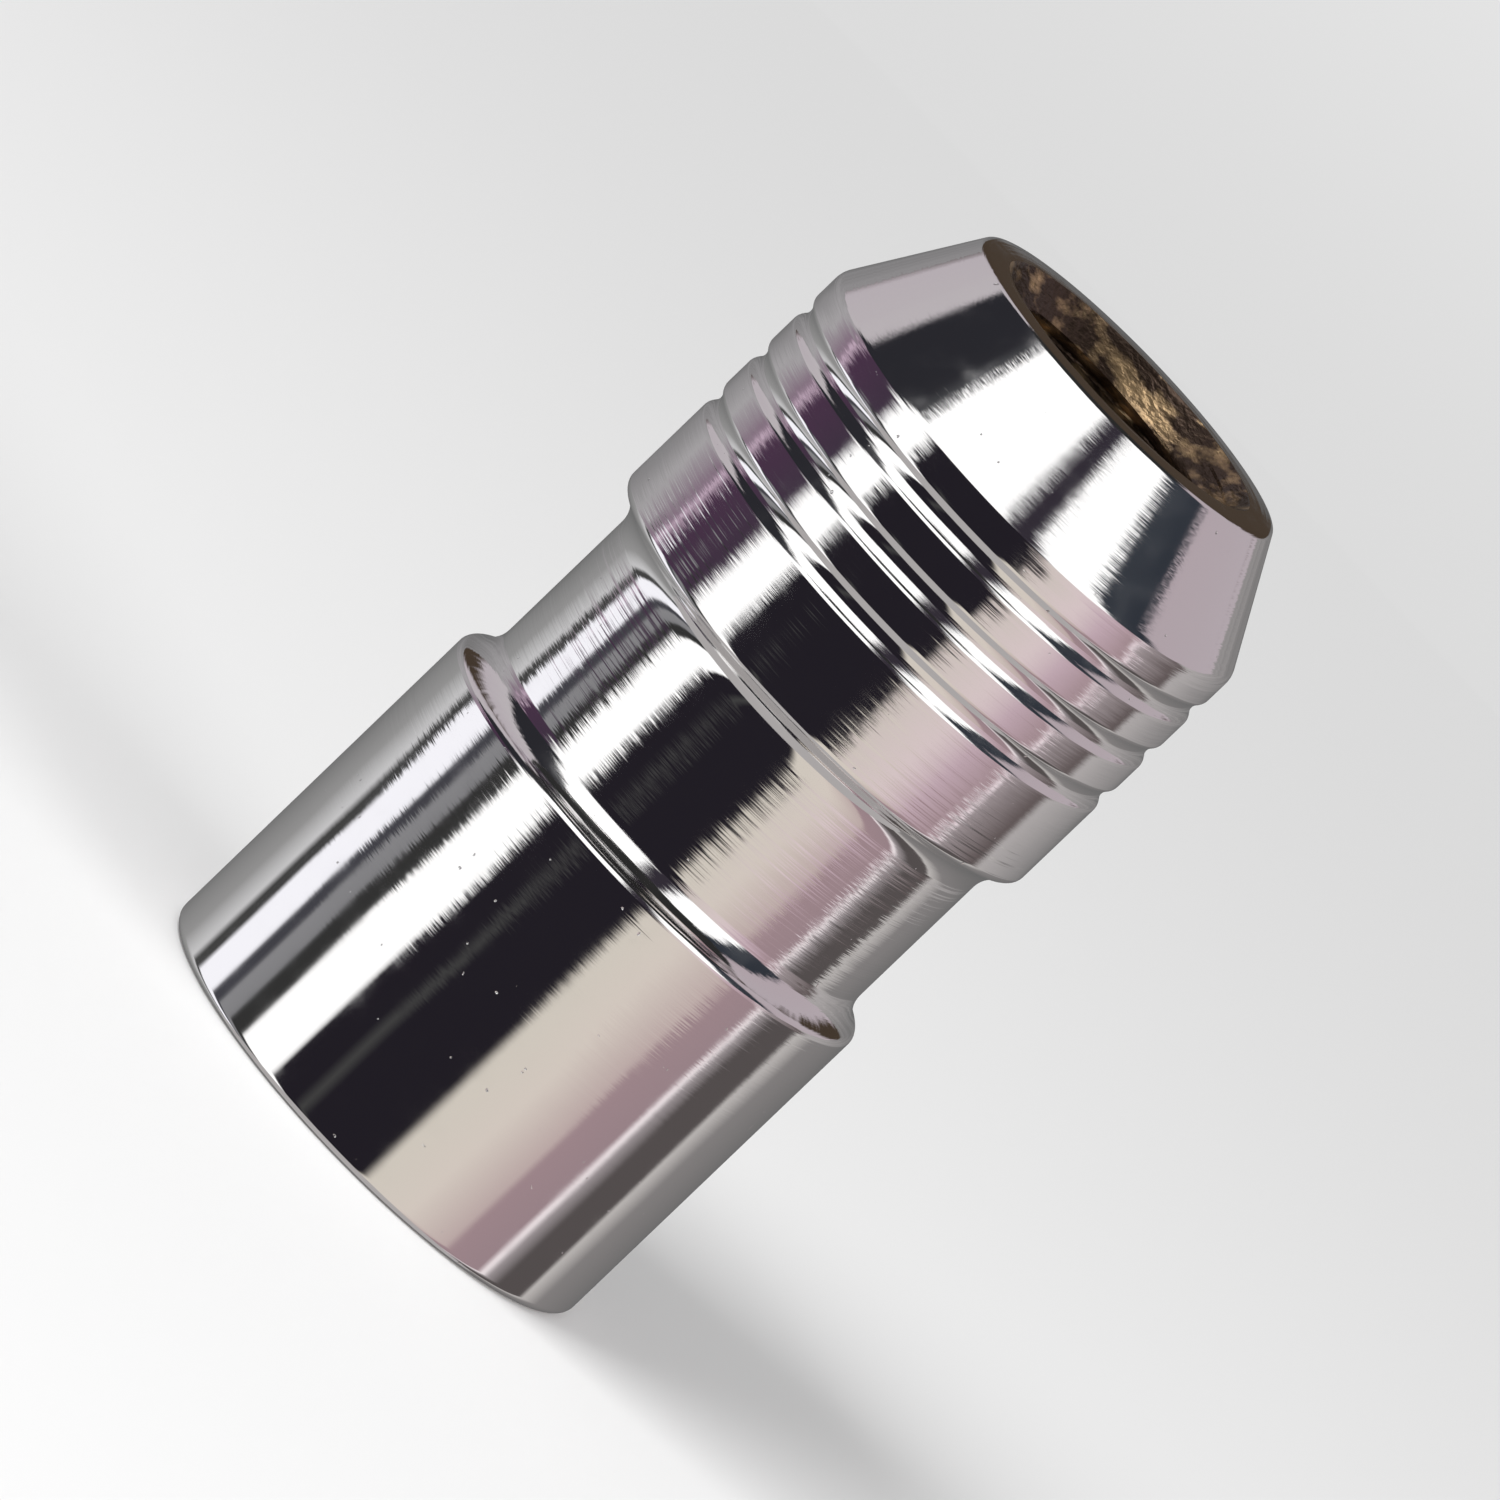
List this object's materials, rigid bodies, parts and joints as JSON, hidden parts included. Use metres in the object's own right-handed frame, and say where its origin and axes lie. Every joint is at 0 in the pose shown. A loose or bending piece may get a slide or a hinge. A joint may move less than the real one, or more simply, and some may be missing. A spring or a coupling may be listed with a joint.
{
  "type": "locking wheel nut",
  "caption": "Closed-end chrome-plated wheel nut with a 60 degree cone seat, a turned waist and ring grooves, and a wavy key groove in its end face.",
  "frame": {"origin": "centre of the flat key-end face, on which the nut stands", "axes": "+Z along the nut's axis, from the key-end face to the cone seat and the threaded mouth; +X towards the outermost lobe of the key groove"},
  "size_m": [0.0218, 0.0216, 0.0413],
  "materials": {
    "chrome_plate": "bright chrome plate over turned steel"
  },
  "bodies": {
    "root": {"wheel_nut": "chrome_plate"}
  },
  "joints": []
}
